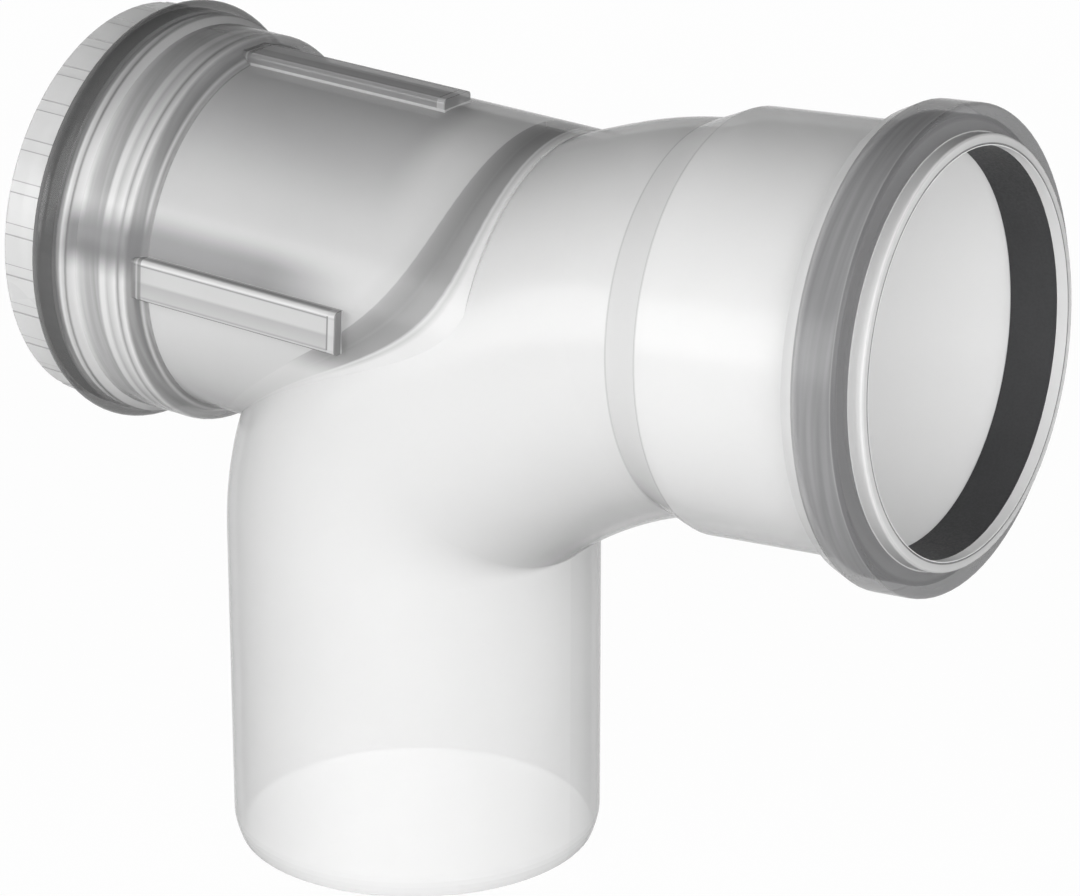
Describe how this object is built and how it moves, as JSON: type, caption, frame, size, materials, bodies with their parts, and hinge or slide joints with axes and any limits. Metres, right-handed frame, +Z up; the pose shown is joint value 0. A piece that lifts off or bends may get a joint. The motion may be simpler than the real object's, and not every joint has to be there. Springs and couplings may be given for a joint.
{
  "type": "flue pipe inspection elbow",
  "caption": "Pale translucent plastic flue elbow with a plain spigot, a sealed socket and a short capped inspection branch in line with the socket.",
  "frame": {"origin": "centre of the spigot's lower end", "axes": "+Z up along the spigot into the elbow, +X towards the socket, -X towards the inspection branch"},
  "size_m": [0.2108, 0.0968, 0.1808],
  "materials": {
    "translucent_body": "smooth glossy translucent polypropylene",
    "black_seal": "matt black rubber",
    "white_cap": "smooth white plastic"
  },
  "bodies": {
    "elbow": {"elbow_body": "translucent_body", "socket_seal": "black_seal", "branch_seal": "black_seal"},
    "cap": {"inspection_cap": "white_cap"}
  },
  "joints": [
    {"name": "cap_pull", "type": "slide", "parent": "elbow", "child": "cap", "axis": [-0.9986, 0, 0.0523], "range_m": [0, 0.105]}
  ]
}
